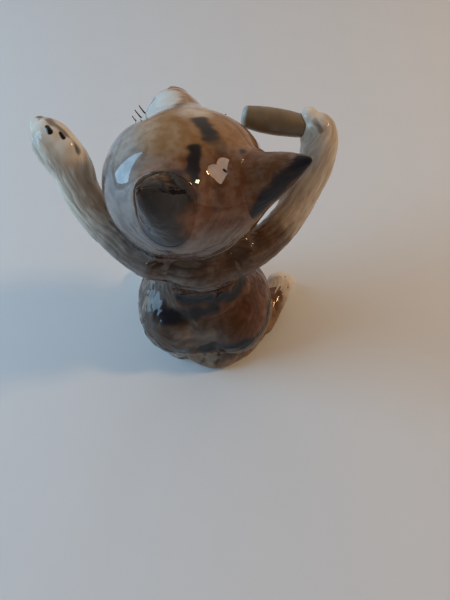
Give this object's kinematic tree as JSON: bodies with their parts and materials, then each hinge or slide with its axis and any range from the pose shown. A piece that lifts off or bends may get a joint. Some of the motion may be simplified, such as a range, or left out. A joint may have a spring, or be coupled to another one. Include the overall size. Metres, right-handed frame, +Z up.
{
  "type": "ceramic cat figurine",
  "caption": "Small glazed ceramic cat sitting upright on a round flat base, head thrown back, arms raised, a baton in its right paw.",
  "frame": {"origin": "middle of the flat underside, on the surface that the figurine stands on", "axes": "+Z up; the cat sits facing -Y with its left side towards +X"},
  "size_m": [0.0787, 0.0465, 0.0887],
  "materials": {
    "tabby_glaze": "clear gloss glaze over airbrushed brown and black tabby bands",
    "cream_glaze": "clear gloss glaze over cream with grey-brown shading",
    "dark_glaze": "clear gloss glaze over blue-black and brown",
    "olive_glaze": "satin olive-brown glaze",
    "bristle": "dark brown nylon bristle"
  },
  "bodies": {
    "root": {"torso_casting": "tabby_glaze", "head_casting": "tabby_glaze", "left_ear": "dark_glaze", "right_ear": "dark_glaze", "left_arm": "cream_glaze", "right_arm": "cream_glaze", "left_foot": "cream_glaze", "right_foot": "cream_glaze", "tail": "dark_glaze", "baton": "olive_glaze", "left_whisker_1": "bristle", "left_whisker_2": "bristle", "left_whisker_3": "bristle", "right_whisker_1": "bristle", "right_whisker_2": "bristle", "right_whisker_3": "bristle"}
  },
  "joints": []
}
